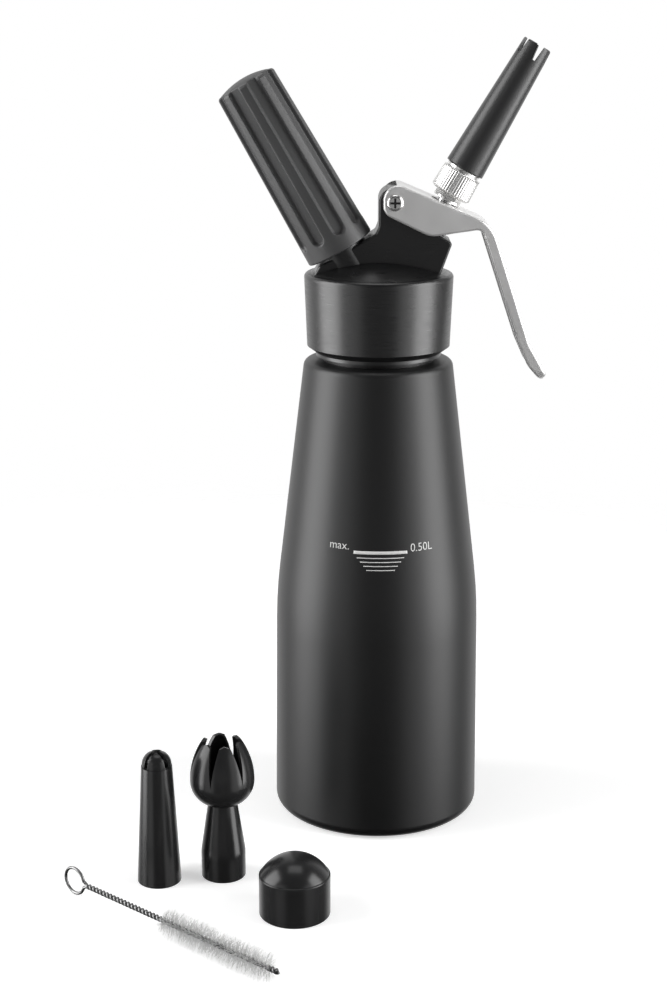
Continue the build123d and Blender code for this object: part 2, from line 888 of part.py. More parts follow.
tulip_section, tulip_axis = standing(tulip_x, tulip_y)
with BuildPart() as tulip_tip:
    floor_rise = tulip_waist + tulip_wall
    with BuildSketch(tulip_section):
        with BuildLine():
            FilletPolyline(
                (tip_socket, 0),
                (tulip_base_radius, 0),
                (tulip_base_radius, tulip_stem),
                (tulip_waist_radius, tulip_waist),
                radius=[tip_edge, tulip_stem_blend],
            )
            TangentArc(
                (tulip_bulb_radius, tulip_bulb), (tulip_waist_radius, tulip_waist), tangent=(0, -1)
            )
            TangentArc(
                (tulip_bulb_radius, tulip_bulb), (tulip_tip_radius, tulip_height), tangent=(0, 1)
            )
            Line((tulip_tip_radius, tulip_height), (tulip_tip_radius - tulip_wall, tulip_height))
            inner_bulb = (tulip_bulb_radius - tulip_wall, tulip_bulb)
            TangentArc(inner_bulb, (tulip_tip_radius - tulip_wall, tulip_height), tangent=(0, 1))
            TangentArc(inner_bulb, (tulip_waist_radius - tulip_wall, floor_rise), tangent=(0, -1))
            Polyline(
                (tulip_waist_radius - tulip_wall, floor_rise),
                (tip_socket - tip_ledge, socket_depth),
                (tip_socket, socket_depth),
                (tip_socket, 0),
            )
        make_face()
    revolve(axis=tulip_axis)
    # notches between the petals, whose tips stay rounded
    petal_pitch = 2 * pi * tulip_tip_radius / tulip_petals
    notch_half = (petal_pitch - tulip_petal_tip) / 2
    for petal in range(tulip_petals):
        angle = radians(tulip_turn - 90 + (petal + 0.5) * 360 / tulip_petals)
        outward = Vector(cos(angle), sin(angle), 0)
        notch_plane = Plane((tulip_x, tulip_y, 0), x_dir=(-outward.Y, outward.X, 0), z_dir=outward)
        with BuildSketch(notch_plane) as notch:
            with BuildLine() as sides:
                Polyline(
                    (-notch_half - tulip_petal_tip, tulip_height),
                    (-notch_half, tulip_height - tulip_petal_tip / 2),
                    (0, tulip_notch),
                    (notch_half, tulip_height - tulip_petal_tip / 2),
                    (notch_half + tulip_petal_tip, tulip_height),
                    close=True,
                )
            make_face(sides.edges())
        extrude(notch.sketch, amount=2 * tulip_bulb_radius, mode=Mode.SUBTRACT)
save("tulip_tip", tulip_tip.part)

# Cleaning brush: a ring of twisted wire, its stem and the bristles, lying on the table.
brush_plane = Plane(
    (brush_x, brush_y, bristle_radius),
    x_dir=(cos(radians(brush_direction)), sin(radians(brush_direction)), 0),
    z_dir=(-sin(radians(brush_direction)), cos(radians(brush_direction)), 0),
)
stem_plane = Plane(brush_plane.origin, z_dir=brush_plane.x_dir)
with BuildPart() as brush_wire:
    with BuildSketch(Plane(brush_plane.origin, x_dir=brush_plane.x_dir, z_dir=(0, 0, 1))):
        with Locations((ring_radius, 0)):
            Circle(ring_wire_radius)
    revolve(axis=Axis(brush_plane.origin, brush_plane.z_dir))
    with BuildSketch(stem_plane.offset(ring_radius)):
        Circle(brush_wire_radius)
    extrude(amount=brush_reach - ring_radius)
save("brush_wire", brush_wire.part)

with BuildPart() as brush_bristles:
    with BuildSketch(stem_plane.offset(bristle_start)):
        Circle(bristle_radius)
        Circle(brush_wire_radius, mode=Mode.SUBTRACT)
    extrude(amount=bristle_length)
save("brush_bristles", brush_bristles.part)
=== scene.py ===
from math import ceil, cos, pi, radians, sin, tan

import bmesh
import bpy
import numpy as np
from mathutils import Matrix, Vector


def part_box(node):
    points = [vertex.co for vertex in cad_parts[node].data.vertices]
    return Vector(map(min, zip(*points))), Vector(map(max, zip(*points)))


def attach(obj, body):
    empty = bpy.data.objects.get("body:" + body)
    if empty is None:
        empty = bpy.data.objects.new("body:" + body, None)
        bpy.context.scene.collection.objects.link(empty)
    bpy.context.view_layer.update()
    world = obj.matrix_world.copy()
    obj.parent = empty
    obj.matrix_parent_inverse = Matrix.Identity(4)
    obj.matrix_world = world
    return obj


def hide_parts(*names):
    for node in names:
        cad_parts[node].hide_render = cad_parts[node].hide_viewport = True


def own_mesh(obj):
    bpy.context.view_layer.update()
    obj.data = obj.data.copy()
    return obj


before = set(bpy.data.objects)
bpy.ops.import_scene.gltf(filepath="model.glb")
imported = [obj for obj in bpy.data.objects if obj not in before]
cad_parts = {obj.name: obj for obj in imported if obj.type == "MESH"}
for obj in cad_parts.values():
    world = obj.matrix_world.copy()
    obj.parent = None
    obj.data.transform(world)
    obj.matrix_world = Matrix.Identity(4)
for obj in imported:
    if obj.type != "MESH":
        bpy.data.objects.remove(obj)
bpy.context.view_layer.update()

# A half-litre cream whipper with two spare tips, a screw cap and a cleaning brush.
# Metres, +Z up, +X towards the nozzle. Profiles are written in mm, as (radius, height) pairs.
# Both branches of the head lean out from one apex on the bottle's axis.
mm = 0.001
tiny = 0.01              # mm, a difference too small to show
lean = radians(30)
apex = np.array([0, 0, 196]) * mm
up = np.array([0.0, 0.0, 1.0])
away = np.array([0.0, 1.0, 0.0])
holderAxis = np.array([-sin(lean), 0, cos(lean)])
nozzleAxis = np.array([sin(lean), 0, cos(lean)])
nozzleAcross = np.cross(away, nozzleAxis)


def gridFaces(rows, columns, aroundColumns=False, aroundRows=False):
    # Quads between the neighbouring points of a grid stored row by row, wrapped round if asked.
    r = np.arange(rows if aroundRows else rows - 1)[:, None]
    c = np.arange(columns if aroundColumns else columns - 1)[None, :]
    nextRow, nextColumn = (r + 1) % rows, (c + 1) % columns
    quads = [r * columns + c, r * columns + nextColumn, nextRow * columns + nextColumn, nextRow * columns + c]
    return np.stack(np.broadcast_arrays(*quads), -1).reshape(-1, 4)


def newPiece(name, points, faces, material, body, replaces=(), weld=2e-6):
    # Points in metres and faces become one closed mesh; points that coincide are welded.
    points = np.asarray(points, np.float32).reshape(-1, 3)
    faces = np.asarray(faces, np.int32)
    mesh = bpy.data.meshes.new(name)
    mesh.vertices.add(len(points))
    mesh.vertices.foreach_set("co", points.ravel())
    mesh.loops.add(faces.size)
    mesh.loops.foreach_set("vertex_index", faces.ravel())
    mesh.polygons.add(len(faces))
    mesh.polygons.foreach_set("loop_start", np.arange(0, faces.size, faces.shape[1], dtype=np.int32))
    mesh.update(calc_edges=True)
    if weld:
        work = bmesh.new()
        work.from_mesh(mesh)
        bmesh.ops.remove_doubles(work, verts=work.verts, dist=weld)
        bmesh.ops.dissolve_degenerate(work, edges=work.edges, dist=1e-7)
        bmesh.ops.recalc_face_normals(work, faces=work.faces)
        work.to_mesh(mesh)
        work.free()
    return finishPiece(bpy.data.objects.new(name, mesh), material, body, replaces)


def finishPiece(piece, material, body, replaces=()):
    # Smooth shading and one material, then the body it rides on and the nodes it stands for.
    piece.data.shade_smooth()
    piece.data.materials.clear()
    piece.data.materials.append(materials[material])
    bpy.context.scene.collection.objects.link(piece)
    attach(piece, body)
    if replaces:
        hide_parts(*replaces)
    return piece


def roundedPath(corners, closed=False, beside=0.12, arcStep=radians(9)):
    # A path through (a, b, radius) corners: a corner with a radius becomes an arc tangent to both
    # runs. Each run gets an extra point a little way from its ends, which keeps its shading flat.
    points = np.array([corner[:2] for corner in corners], float)
    radii = [corner[2] if len(corner) > 2 else 0 for corner in corners]
    count = len(corners)
    arcs = []
    for i in range(count):
        here = points[i]
        if radii[i] <= 0:
            arcs.append([here])
            continue
        before, after = points[i - 1] - here, points[(i + 1) % count] - here
        before, after = before / np.linalg.norm(before), after / np.linalg.norm(after)
        half = np.arccos(np.clip(before @ after, -1, 1)) / 2
        sweep = pi - 2 * half
        centre = here + (before + after) / np.linalg.norm(before + after) * radii[i] / sin(half)
        start = here + before * radii[i] / tan(half) - centre
        end = here + after * radii[i] / tan(half) - centre
        t = np.linspace(0, 1, max(3, int(ceil(sweep / arcStep))) + 1)[:, None]
        arcs.append(list(centre + (np.sin((1 - t) * sweep) * start + np.sin(t * sweep) * end) / sin(sweep)))
    path = list(arcs[0])
    for arc in arcs[1:] + (arcs[:1] if closed else []):
        gap = arc[0] - path[-1]
        length = np.linalg.norm(gap)
        if length > 4 * beside:
            path += [path[-1] + gap * beside / length, arc[0] - gap * beside / length]
        path += list(arc)
    return np.array(path[:-len(arcs[0])] if closed else path)


def withRows(path, low, high, step):
    # The same path with more points between two heights, on the run that crosses them outside.
    i = next(k for k in range(len(path) - 1) if path[k][1] <= low and path[k + 1][1] >= high)
    heights = np.arange(low, high + step / 2, step)
    share = (heights - path[i][1]) / (path[i + 1][1] - path[i][1])
    return np.vstack([path[:i + 1], path[i] + share[:, None] * (path[i + 1] - path[i]), path[i + 1:]])


def turned(origin, axis, profile, segments, closed=True, bump=None):
    # A profile carried round the axis: point = origin + radius * (cos across + sin away) + height * axis.
    # bump(angle, radius, height) may give every point of the grid a new radius.
    across = np.cross(away, axis)
    angle = np.linspace(0, 2 * pi, segments, endpoint=False)[None, :]
    radius, height = profile[:, :1] + 0 * angle, profile[:, 1:2] + 0 * angle
    if bump is not None:
        radius = bump(angle, radius, height)
    points = origin + mm * (
        (radius * np.cos(angle))[..., None] * across
        + (radius * np.sin(angle))[..., None] * away
        + height[..., None] * axis
    )
    return points, gridFaces(len(profile), segments, aroundColumns=True, aroundRows=closed)


def tube(centre, tangent, radius, sides):
    # A round tube: every centre point gets a ring of points in the plane across its tangent, and
    # the tube closes in a point at both ends.
    tangent = tangent / np.linalg.norm(tangent, axis=-1, keepdims=True)
    side = np.cross(tangent, up + 1e-3 * away)     # tilted, so that no tangent lies along it
    side /= np.linalg.norm(side, axis=-1, keepdims=True)
    other = np.cross(tangent, side)
    turn = np.linspace(0, 2 * pi, sides, endpoint=False)[None, :, None]
    centre, side, other = (np.vstack([part[:1], part, part[-1:]]) for part in (centre, side, other))
    radius = np.concatenate([[0], np.full(len(centre) - 2, float(radius)), [0]])
    ring = side[:, None] * np.cos(turn) + other[:, None] * np.sin(turn)
    return centre[:, None] + radius[:, None, None] * ring, gridFaces(len(centre), sides, aroundColumns=True)


def smooth(low, high, value):
    # 0 below low, 1 above high, and an even S between them.
    t = np.clip((value - low) / (high - low), 0, 1)
    return t * t * (3 - 2 * t)


def thread(angle, height, low, high, pitch, depth, crest=-0.35, root=0.75):
    # How deep a right-hand screw thread cuts: a groove that climbs one pitch in a turn, with its
    # crest and root set as cosines, and fades out over the first and last half turn.
    phase = 2 * pi * height / pitch - angle
    groove = smooth(crest, root, np.cos(phase))
    return depth * groove * smooth(low, low + pitch / 2, height) * smooth(high, high - pitch / 2, height)


noiseLow, noiseHigh = 0.3, 0.7      # most values of a noise texture lie between these


def addNode(nodes, kind, **settings):
    # A shader node; each setting is one of its properties or, if it has none, one of its inputs.
    node = nodes.new("ShaderNode" + kind)
    for key, value in settings.items():
        if hasattr(node, key):
            setattr(node, key, value)
        else:
            node.inputs[key.replace("_", " ")].default_value = value
    return node


def noiseRange(nodes, links, noise, socket, low, high):
    # The noise, spread over a range of values, feeds one socket.
    spread = addNode(nodes, "MapRange", From_Min=noiseLow, From_Max=noiseHigh, To_Min=low, To_Max=high)
    links.new(noise.outputs["Fac"], spread.inputs["Value"])
    links.new(spread.outputs["Result"], socket)


def makeFinish(name, colour, roughness, metallic=0.0, size=(1, 1, 1), scale=1500.0, bump=0.1, depth=0.02,
               tint=0.08, spread=0.05, specular=0.5, broad=30.0):
    # Fine noise, stretched by size, gives the roughness and the relief their grain.
    # Broad noise varies the colour a little. depth is in mm.
    material = bpy.data.materials.new(name)
    material.use_nodes = True
    nodes, links = material.node_tree.nodes, material.node_tree.links
    shader = nodes["Principled BSDF"]
    shader.inputs["Metallic"].default_value = metallic
    shader.inputs["Specular IOR Level"].default_value = specular
    coords = addNode(nodes, "TexCoord")
    mapping = addNode(nodes, "Mapping", Scale=size)
    fine = addNode(nodes, "TexNoise", Scale=scale, Detail=2.0)
    wide = addNode(nodes, "TexNoise", Scale=broad, Detail=3.0)
    links.new(coords.outputs["Object"], mapping.inputs["Vector"])
    links.new(mapping.outputs["Vector"], fine.inputs["Vector"])
    links.new(coords.outputs["Object"], wide.inputs["Vector"])
    ramp = addNode(nodes, "ValToRGB")
    ends = zip(ramp.color_ramp.elements, (noiseLow, noiseHigh), (1 - tint, 1 + tint))
    for element, position, share in ends:
        element.position = position
        element.color = (*(np.array(colour) * share), 1)
    links.new(wide.outputs["Fac"], ramp.inputs["Fac"])
    links.new(ramp.outputs["Color"], shader.inputs["Base Color"])
    smoothest = max(0.02, roughness - spread)
    noiseRange(nodes, links, fine, shader.inputs["Roughness"], smoothest, roughness + spread)
    if bump:
        relief = addNode(nodes, "Bump", Strength=bump, Distance=depth * mm)
        links.new(fine.outputs["Fac"], relief.inputs["Height"])
        links.new(relief.outputs["Normal"], shader.inputs["Normal"])
    return material


def paintRecessShade(material, middle, reach, depth, shade):
    # Painted shade: dark inside a round region, nearer than reach to the middle, seen along y, and deeper
    # than depth.
    nodes, links = material.node_tree.nodes, material.node_tree.links
    shader = nodes["Principled BSDF"]
    coords = addNode(nodes, "TexCoord")
    offset = addNode(nodes, "VectorMath", operation="SUBTRACT")
    offset.inputs[1].default_value = middle
    flat = addNode(nodes, "VectorMath", operation="MULTIPLY")
    flat.inputs[1].default_value = (1, 0, 1)
    distance = addNode(nodes, "VectorMath", operation="LENGTH")
    parts = addNode(nodes, "SeparateXYZ")
    near = addNode(nodes, "Math", operation="LESS_THAN")
    near.inputs[1].default_value = reach
    deep = addNode(nodes, "Math", operation="GREATER_THAN")
    deep.inputs[1].default_value = depth
    both = addNode(nodes, "Math", operation="MULTIPLY")
    links.new(coords.outputs["Object"], offset.inputs[0])
    links.new(offset.outputs["Vector"], flat.inputs[0])
    links.new(flat.outputs["Vector"], distance.inputs[0])
    links.new(offset.outputs["Vector"], parts.inputs[0])
    links.new(distance.outputs["Value"], near.inputs[0])
    links.new(parts.outputs["Y"], deep.inputs[0])
    links.new(near.outputs[0], both.inputs[0])
    links.new(deep.outputs[0], both.inputs[1])
    # on a Mix node for colours, the factor is input 0, the colours are 6 and 7, and the result is output 2
    mixed = addNode(nodes, "Mix", data_type="RGBA")
    links.new(both.outputs[0], mixed.inputs[0])
    links.new(shader.inputs["Base Color"].links[0].from_socket, mixed.inputs[6])
    mixed.inputs[7].default_value = (shade, shade, shade, 1)
    links.new(mixed.outputs[2], shader.inputs["Base Color"])


print("finishes")
finishes = {
    # name: colour and shine, then the grain
    "bottleCoat": dict(colour=(0.005, 0.005, 0.0053), roughness=0.42, specular=0.57,
                       scale=2600, bump=0.22, depth=0.012, spread=0.03),
    "headCoat": dict(colour=(0.0058, 0.0058, 0.0061), roughness=0.34, specular=0.73,
                     size=(1, 1, 40), scale=130, bump=0.3, depth=0.02, spread=0.07),
    "holderPlastic": dict(colour=(0.042, 0.042, 0.0428), roughness=0.5, specular=0.72,
                          scale=1800, bump=0.1, depth=0.01),
    # star tip: the same kind of plastic as the spare tips (capPlastic), given a lighter colour that is partly
    # painted light
    "tipPlastic": dict(colour=(0.022, 0.022, 0.0224), roughness=0.36, specular=0.75,
                       scale=2500, bump=0, spread=0.02),
    "capPlastic": dict(colour=(0.017, 0.017, 0.0174), roughness=0.24, specular=0.4,
                       scale=4000, bump=0, spread=0.004),
    "leverSteel": dict(colour=(0.86, 0.855, 0.85), metallic=0.68, roughness=0.36,
                       size=(0.05, 1, 0.05), scale=2500, bump=0.12, depth=0.006, tint=0.015, spread=0.05),
    "brightNickel": dict(colour=(0.86, 0.855, 0.845), metallic=0.8, roughness=0.24,
                         scale=500, bump=0, tint=0.015, spread=0.03),
    "screwNickel": dict(colour=(0.9, 0.895, 0.885), metallic=0.92, roughness=0.2,
                        scale=500, bump=0, tint=0.015, spread=0.03),
    "valveSteel": dict(colour=(0.62, 0.62, 0.62), metallic=1, roughness=0.24,
                       scale=800, bump=0.05, tint=0.03),
    "pressedBrass": dict(colour=(0.66, 0.50, 0.24), metallic=1, roughness=0.3,
                         scale=800, bump=0.05, tint=0.05),
    "bareAluminium": dict(colour=(0.74, 0.74, 0.75), metallic=1, roughness=0.36,
                          scale=700, bump=0.1, tint=0.04),
    "sealRubber": dict(colour=(0.02, 0.02, 0.02), roughness=0.6, scale=1500, bump=0.15),
    "chargerSteel": dict(colour=(0.66, 0.66, 0.66), metallic=1, roughness=0.3,
                         scale=700, bump=0.06, tint=0.04),
    "brushSteel": dict(colour=(0.22, 0.22, 0.22), metallic=1, roughness=0.3,
                       scale=900, bump=0.05, tint=0.1),
    "bristleNylon": dict(colour=(0.74, 0.74, 0.735), roughness=0.4, scale=900, bump=0, tint=0.1, broad=300.0),
    "markPrint": dict(colour=(0.72, 0.72, 0.71), roughness=0.5,
                      scale=2500, bump=0.05, depth=0.005, tint=0.05, broad=400.0),
}
materials = {name: makeFinish(name, **finish) for name, finish in finishes.items()}

nodeFinish = {
    "head": "headCoat", "head_gasket": "sealRubber", "piercing_pin": "valveSteel",
    "piercer_seal": "sealRubber", "guide_bush": "pressedBrass", "spindle_oring": "sealRubber",
    "lever": "leverSteel", "pivot_screw": "screwNickel", "pivot_sleeve": "brightNickel",
    "pivot_nut": "brightNickel", "valve_spindle": "valveSteel", "valve_seal": "sealRubber",
    "thrust_collar": "brightNickel", "spindle_washer": "brightNickel", "spindle_nut": "brightNickel",
    "star_tip": "tipPlastic", "charger": "chargerSteel", "holder_liner": "bareAluminium",
    "holder_cushion": "sealRubber", "round_tip": "capPlastic", "tulip_tip": "capPlastic",
}
# a piece below takes the place of each of these, and they keep the same finish
replaced = {
    "bottle": "bottleCoat", "charger_holder": "holderPlastic", "nozzle_adapter": "brightNickel",
    "valve_spring": "valveSteel", "brush_wire": "brushSteel", "brush_bristles": "bristleNylon",
    "protective_cap": "capPlastic",
}
for node, finish in (nodeFinish | replaced).items():
    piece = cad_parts[node]
    piece.data.materials.clear()
    piece.data.materials.append(materials[finish])

# painted shade: the deep part of the cross in the pivot screw's head is coloured dark
recessShade = {"reach": 2.1, "depth": 0.3, "shade": 0.08}     # the cross in the pivot screw's head
screwLow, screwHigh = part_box("pivot_screw")
screwMiddle = ((screwLow[0] + screwHigh[0]) / 2, screwLow[1], (screwLow[2] + screwHigh[2]) / 2)
paintRecessShade(materials["screwNickel"], screwMiddle, recessShade["reach"] * mm, recessShade["depth"] * mm,
             recessShade["shade"])

print("bottle with its neck thread and fill mark")
bottle = {
    "baseRadius": 39.75, "baseRound": 4.5, "bellyRadius": 38.9, "bellyHeight": 88.0, "bellyRound": 180,
    "shoulderRadius": 27.9, "shoulderHeight": 179.4, "shoulderRound": 2.6, "neckRadius": 20.9,
    "neckTop": 200.0, "mouthRadius": 18.5, "lipRound": 0.6, "rootRound": 2.0, "wall": 1.5, "floor": 3.0,
    "threadPitch": 3.0, "threadDepth": 0.8, "threadLow": 184.5, "threadHigh": 198.5, "threadRows": 0.2,
    "segments": 192,
}
wall = bottle["wall"]
neckRoot = bottle["shoulderHeight"] - wall
bottleProfile = roundedPath([
    (0, 0),
    (bottle["baseRadius"], 0, bottle["baseRound"]),
    (bottle["bellyRadius"], bottle["bellyHeight"], bottle["bellyRound"]),
    (bottle["shoulderRadius"], bottle["shoulderHeight"], bottle["shoulderRound"]),
    (bottle["neckRadius"], bottle["shoulderHeight"]),
    (bottle["neckRadius"], bottle["neckTop"], bottle["lipRound"]),
    (bottle["mouthRadius"], bottle["neckTop"], bottle["lipRound"]),
    (bottle["mouthRadius"], neckRoot, bottle["rootRound"]),
    (bottle["shoulderRadius"] - wall, neckRoot, bottle["shoulderRound"] - wall),
    (bottle["bellyRadius"] - wall, bottle["bellyHeight"], bottle["bellyRound"]),
    (bottle["baseRadius"] - wall, bottle["floor"], bottle["baseRound"] - wall),
    (0, bottle["floor"]),
])
bottleProfile = withRows(bottleProfile, bottle["threadLow"], bottle["threadHigh"], bottle["threadRows"])


def neckThread(angle, radius, height):
    # The thread is cut into the neck's outside only.
    cut = thread(angle, height, bottle["threadLow"], bottle["threadHigh"], bottle["threadPitch"],
                 bottle["threadDepth"])
    return radius - np.where(np.abs(radius - bottle["neckRadius"]) < tiny, cut, 0)


points, faces = turned(np.zeros(3), up, bottleProfile, bottle["segments"], closed=False, bump=neckThread)
newPiece("bottleBody", points, faces, "bottleCoat", "bottle", ["bottle"])

mark = {
    "turn": 0.7,                    # degrees towards the nozzle, from the front
    "bars": [                       # middle height, thickness, half width in degrees
        (113.5, 1.15, 16.0), (111.5, 0.3, 14.0), (110.0, 0.3, 12.0), (108.5, 0.3, 10.0), (107.0, 0.3, 8.2),
    ],
    "barSteps": 33,
    "lift": 0.02,                   # mm of print above the coat
    "sunk": 0.001,                  # mm of its edges under the coat
    "words": [("max.", -19.3, 114.3, 4.4), ("0.50L", 11.7, 113.5, 4.3)],   # text, start, baseline, size
    "narrow": 0.96,                 # width of a letter against the font's
    "thin": 0.035,                  # mm taken off its strokes
}


def bottleRadius(height):
    # The straight taper above the belly.
    share = (height - bottle["bellyHeight"]) / (bottle["shoulderHeight"] - bottle["bellyHeight"])
    return bottle["bellyRadius"] + (bottle["shoulderRadius"] - bottle["bellyRadius"]) * share


def onBottle(angle, height, lift):
    # Angle from the front, height and lift in mm become points on the bottle's taper.
    radius = bottleRadius(height) + lift
    return np.stack([radius * np.sin(angle), -radius * np.cos(angle), height + 0 * radius], -1) * mm


barPoints, barFaces, offset = [], [], 0
for height, thickness, half in mark["bars"]:
    sweep = np.linspace(-radians(half), radians(half), mark["barSteps"])
    angle = radians(mark["turn"]) + sweep[None, :]
    edge = np.array([-1, -1, 1, 1])[:, None] * thickness / 2
    lift = np.array([-mark["sunk"], mark["lift"], mark["lift"], -mark["sunk"]])[:, None]
    points = onBottle(angle + 0 * edge, height + edge + 0 * angle, lift + 0 * angle)
    # both ends close in a point
    capped = np.concatenate([points[:, :1].mean(0, keepdims=True).repeat(4, 0), points,
                             points[:, -1:].mean(0, keepdims=True).repeat(4, 0)], 1)
    barPoints.append(capped.reshape(-1, 3))
    barFaces.append(gridFaces(4, capped.shape[1], aroundRows=True) + offset)
    offset += barPoints[-1].shape[0]
newPiece("fillMark", np.vstack(barPoints), np.vstack(barFaces), "markPrint", "bottle")

for text, start, baseline, size in mark["words"]:
    letters = bpy.data.curves.new("letters", "FONT")
    letters.body, letters.size, letters.resolution_u = text, size, 4
    letters.extrude, letters.offset = mark["lift"], -mark["thin"]
    flat = bpy.data.objects.new("letters", letters)
    bpy.context.scene.collection.objects.link(flat)
    bpy.context.view_layer.update()
    mesh = bpy.data.meshes.new_from_object(flat.evaluated_get(bpy.context.evaluated_depsgraph_get()))
    bpy.data.objects.remove(flat)
    flatPoints = np.empty(len(mesh.vertices) * 3, np.float32)
    mesh.vertices.foreach_get("co", flatPoints)
    x, y, z = flatPoints.reshape(-1, 3).T
    angle = (start + x * mark["narrow"]) / bottleRadius(baseline)
    bent = onBottle(angle, baseline + y, z + mark["lift"])
    mesh.vertices.foreach_set("co", bent.astype(np.float32).ravel())
    mesh.update()
    word = bpy.data.objects.new("markWord" + ("Left" if start < 0 else "Right"), mesh)
    finishPiece(word, "markPrint", "bottle")
    mesh.shade_flat()

print("charger holder")
holder = {
    "rim": 28.8, "top": 97.8, "radius": 13.15, "topRadius": 11.65, "rimRound": 0.6, "topRound": 1.2,
    "crown": 2.0, "crownRadius": 10.45, "crownPoints": 9, "linerRadius": 10.8, "linerTop": 57.8,
    "roomRadius": 9.3, "roomTop": 94.6, "cushionRadius": 7.0, "cushionTop": 96.0, "flutes": 9,
    "fluteHalf": 2.25, "fluteDepth": 1.6, "fluteStart": 34.6, "fluteTurn": -73.5, "edge": 0.4,
    "startRows": (34.0, 38.5, 0.3), "sideRows": (42.0, 94.0, 4.0),     # low, high, step
    "segments": 432,
}
crownBend = (holder["crownRadius"] ** 2 + holder["crown"] ** 2) / (2 * holder["crown"])
crownReach = np.linspace(holder["crownRadius"], 0, holder["crownPoints"])[1:, None]
crownRise = holder["top"] + holder["crown"] - crownBend + np.sqrt(crownBend ** 2 - crownReach ** 2)
sideWall = roundedPath([
    (holder["linerRadius"], holder["rim"]),
    (holder["radius"], holder["rim"], holder["rimRound"]),
    (holder["topRadius"], holder["top"], holder["topRound"]),
    (holder["crownRadius"] - tiny, holder["top"]),
])
sideWall = withRows(sideWall, *holder["startRows"])
sideWall = withRows(sideWall, *holder["sideRows"])
inside = roundedPath([
    (0, holder["cushionTop"]),
    (holder["cushionRadius"], holder["cushionTop"]),
    (holder["cushionRadius"], holder["roomTop"]),
    (holder["roomRadius"], holder["roomTop"]),
    (holder["roomRadius"], holder["linerTop"]),
    (holder["linerRadius"], holder["linerTop"]),
    (holder["linerRadius"], holder["rim"]),
])[:-1]
holderProfile = np.vstack([sideWall[:-1], np.hstack([crownReach, crownRise]), inside])
holderOutside = np.arange(len(holderProfile))[:, None] < len(sideWall) + len(crownReach) - 2


def flutedRadius(angle, radius, height):
    # Flat-floored flutes with soft edges and a round start: a point whose distance from the
    # middle line of the nearest flute is under half its width drops to the flute's floor.
    pitch = 2 * pi / holder["flutes"]
    off = (angle - radians(holder["fluteTurn"]) + pitch / 2) % pitch - pitch / 2
    taper = (holder["radius"] - holder["topRadius"]) * (height - holder["rim"])
    wallRadius = holder["radius"] - taper / (holder["top"] - holder["rim"])
    under = np.clip(holder["fluteStart"] + holder["fluteHalf"] - height, 0, None)
    across = np.hypot(wallRadius * np.sin(off), under)
    share = smooth(holder["fluteHalf"] + holder["edge"], holder["fluteHalf"] - holder["edge"], across)
    sunk = np.minimum(radius, (wallRadius - holder["fluteDepth"]) / np.cos(off))
    return np.where(holderOutside, radius + (sunk - radius) * share, radius)


points, faces = turned(apex, holderAxis, holderProfile, holder["segments"], bump=flutedRadius)
newPiece("holderGrip", points, faces, "holderPlastic", "holder", ["charger_holder"])

print("nozzle adapter")
adapter = {
    "foot": 51.7, "top": 61.1, "seat": 62.2, "threadTop": 69.2, "footRadius": 6.5, "lowRadius": 7.75,
    "highRadius": 7.4, "collarRadius": 6.6, "threadRadius": 4.9, "bore": 1.9, "stemRadius": 3.4,
    "stemTop": 58.0, "chamfer": 0.8, "footRound": 0.3, "topRound": 0.4, "seatRound": 0.2, "endRound": 0.6,
    "ribs": 44, "ribDepth": 0.14, "threadPitch": 1.25, "threadDepth": 0.4,
    "ribInner": (2.0, 0.6),         # ribs start so far outside the stem, and are full so far past the foot
    "ribEnd": (0.5, 0.9),           # they end, and are full, so far under the top edge
    "threadInset": (0.3, 0.4),      # plain ends of the thread, over the seat and under its top
    "gripRows": (1.4, 0.6, 0.4), "threadRows": (0.4, 0.8, 0.12),       # insets from both ends, step
    "segments": 440,
}
adapterProfile = roundedPath([
    (adapter["stemRadius"], adapter["foot"]),
    (adapter["footRadius"], adapter["foot"], adapter["footRound"]),
    (adapter["lowRadius"], adapter["foot"] + adapter["chamfer"], adapter["footRound"]),
    (adapter["highRadius"], adapter["top"], adapter["topRound"]),
    (adapter["collarRadius"], adapter["top"]),
    (adapter["collarRadius"], adapter["seat"], adapter["seatRound"]),
    (adapter["threadRadius"], adapter["seat"]),
    (adapter["threadRadius"], adapter["threadTop"], adapter["endRound"]),
    (adapter["bore"], adapter["threadTop"]),
    (adapter["bore"], adapter["stemTop"]),
    (adapter["stemRadius"], adapter["stemTop"]),
], closed=True)
lowInset, highInset, step = adapter["gripRows"]
adapterProfile = withRows(adapterProfile, adapter["foot"] + lowInset, adapter["top"] - highInset, step)
lowInset, highInset, step = adapter["threadRows"]
adapterProfile = withRows(adapterProfile, adapter["seat"] + lowInset, adapter["threadTop"] - highInset, step)


def ribbedRadius(angle, radius, height):
    # Rounded ribs with narrow valleys: the cut grows with the square of the distance from a rib's
    # middle. They end under the top edge. The tip's thread is above.
    groove = (2 * (angle * adapter["ribs"] / (2 * pi) % 1) - 1) ** 2
    fromStem, fromFoot = adapter["ribInner"]
    endLow, endHigh = adapter["ribEnd"]
    grip = smooth(adapter["stemRadius"] + fromStem, adapter["footRadius"] + fromFoot, radius)
    grip = grip * smooth(adapter["top"] - endLow, adapter["top"] - endHigh, height)
    overSeat, underTop = adapter["threadInset"]
    cut = thread(angle, height, adapter["seat"] + overSeat, adapter["threadTop"] - underTop,
                 adapter["threadPitch"], adapter["threadDepth"])
    cut = np.where(np.abs(radius - adapter["threadRadius"]) < tiny, cut, 0)
    return radius - adapter["ribDepth"] * groove * grip - cut


points, faces = turned(apex, nozzleAxis, adapterProfile, adapter["segments"], bump=ribbedRadius)
newPiece("adapterGrip", points, faces, "brightNickel", "valve", ["nozzle_adapter"])

